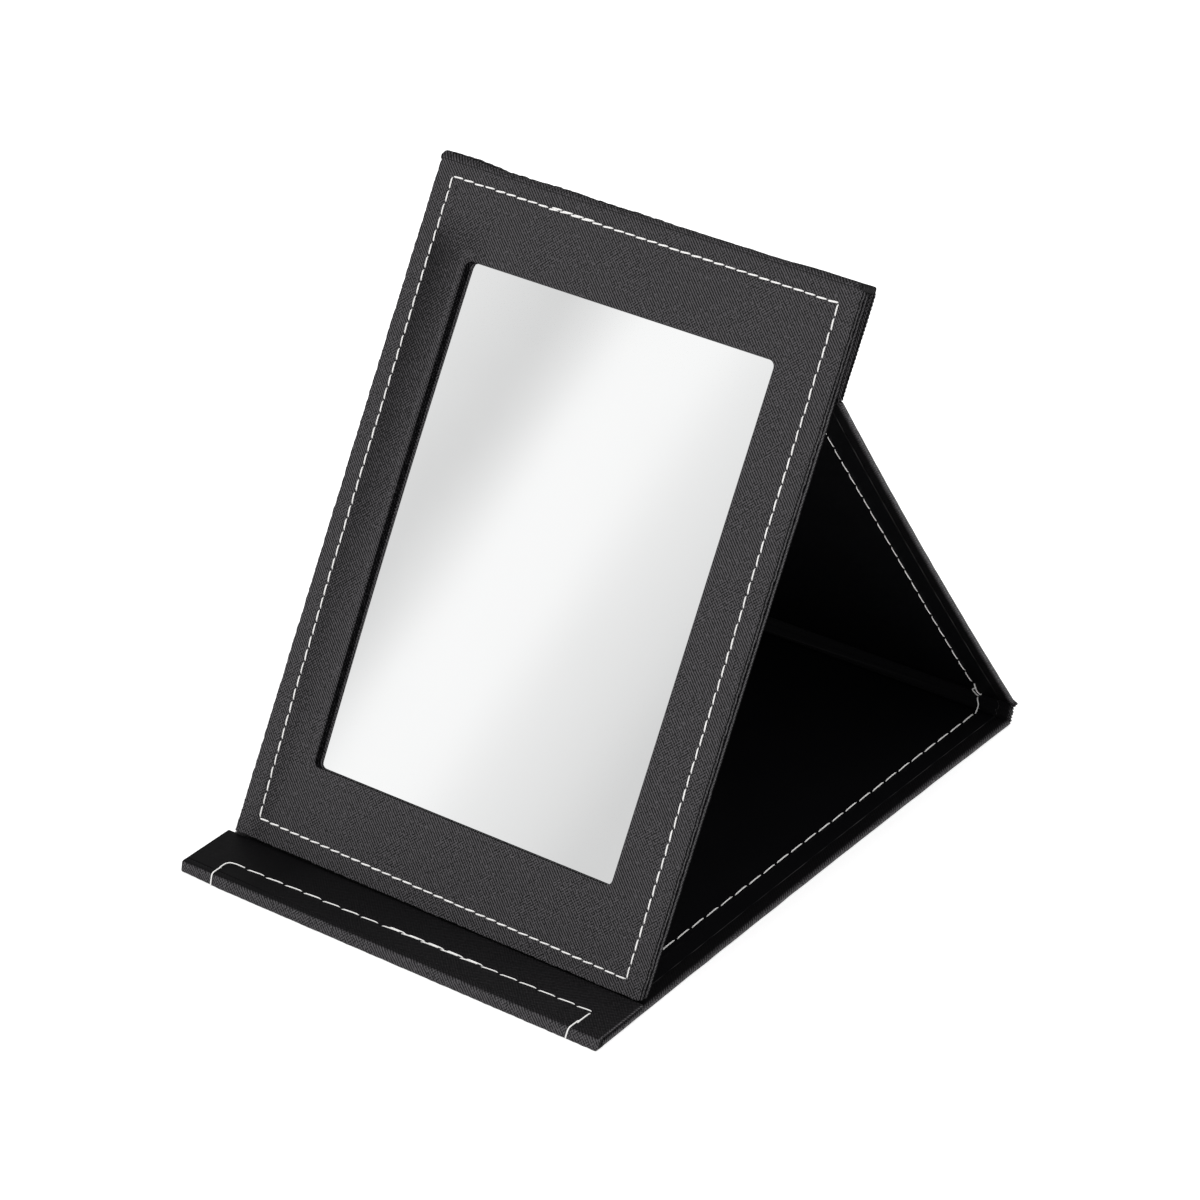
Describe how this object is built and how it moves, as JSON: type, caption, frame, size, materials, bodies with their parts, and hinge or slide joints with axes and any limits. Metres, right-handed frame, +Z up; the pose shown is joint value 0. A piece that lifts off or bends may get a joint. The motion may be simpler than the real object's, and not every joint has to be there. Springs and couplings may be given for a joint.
{
  "type": "folding mirror",
  "caption": "Desk mirror in a stitched, board-stiffened cover that folds like a book: the cover's back half props the leaning mirror and a front flap stops its foot.",
  "frame": {"origin": "middle of the rectangle that the standing mirror covers, on the surface under the base", "axes": "+X across the mirror to the right as seen by the user, +Y from the front flap to the back crease, +Z up"},
  "size_m": [0.1334, 0.1928, 0.1632],
  "materials": {
    "grained_skin": "black synthetic leather with a fine crosshatch grain, semi-matt",
    "smooth_lining": "smooth black sheet, semi-matt",
    "white_thread": "twisted white polyester thread",
    "card": "grey pressed card",
    "adhesive": "double-sided adhesive sheet",
    "mirror_glass": "silvered float glass",
    "keeper_steel": "plain steel disc",
    "magnet": "nickel-plated disc"
  },
  "bodies": {
    "base": {"base_skin": "grained_skin", "base_board": "card", "base_lining": "smooth_lining", "base_stitching": "white_thread", "base_crease": "grained_skin"},
    "spine": {"spine_skin": "grained_skin", "spine_board": "card", "spine_lining": "smooth_lining", "spine_stitching": "white_thread", "strut_crease": "grained_skin"},
    "strut": {"strut_skin": "grained_skin", "strut_board": "card", "strut_lining": "smooth_lining", "strut_stitching": "white_thread", "mirror_crease": "grained_skin"},
    "mirror": {"frame_skin": "grained_skin", "frame_board": "card", "frame_bond": "adhesive", "frame_stitching": "white_thread", "mirror_glass": "mirror_glass", "glass_tape": "adhesive", "spacer_board": "card", "rear_board": "card", "rear_skin": "smooth_lining", "back_top_skin": "grained_skin", "back_top_board": "card", "back_top_lining": "smooth_lining", "back_top_stitching": "white_thread", "closing_keepers": "keeper_steel", "panel_bond": "adhesive"},
    "flap": {"flap_skin": "grained_skin", "flap_board": "card", "flap_lining": "smooth_lining", "flap_stitching": "white_thread", "flap_magnets": "magnet", "flap_roll": "grained_skin"}
  },
  "joints": [
    {"name": "base_fold", "type": "hinge", "parent": "base", "child": "spine", "pos_m": [0, 0.09338, 0.00072], "axis": [-1, 0, 0], "range_deg": [0, 62.37]},
    {"name": "strut_fold", "type": "hinge", "parent": "spine", "child": "strut", "pos_m": [0, 0.0957, 0.00515], "axis": [-1, 0, 0], "range_deg": [0, 62.38]},
    {"name": "mirror_fold", "type": "hinge", "parent": "strut", "child": "mirror", "pos_m": [0, 0.00491, 0.13611], "axis": [1, 0, 0], "range_deg": [0, 64.74]},
    {"name": "flap_fold", "type": "hinge", "parent": "base", "child": "flap", "pos_m": [0, -0.09485, 0.00158], "axis": [1, 0, 0], "range_deg": [0, 180]}
  ],
  "couplings": [
    {"joint": "strut_fold", "follows": "base_fold", "ratio": 1},
    {"joint": "mirror_fold", "follows": "base_fold", "ratio": 1.0379}
  ]
}
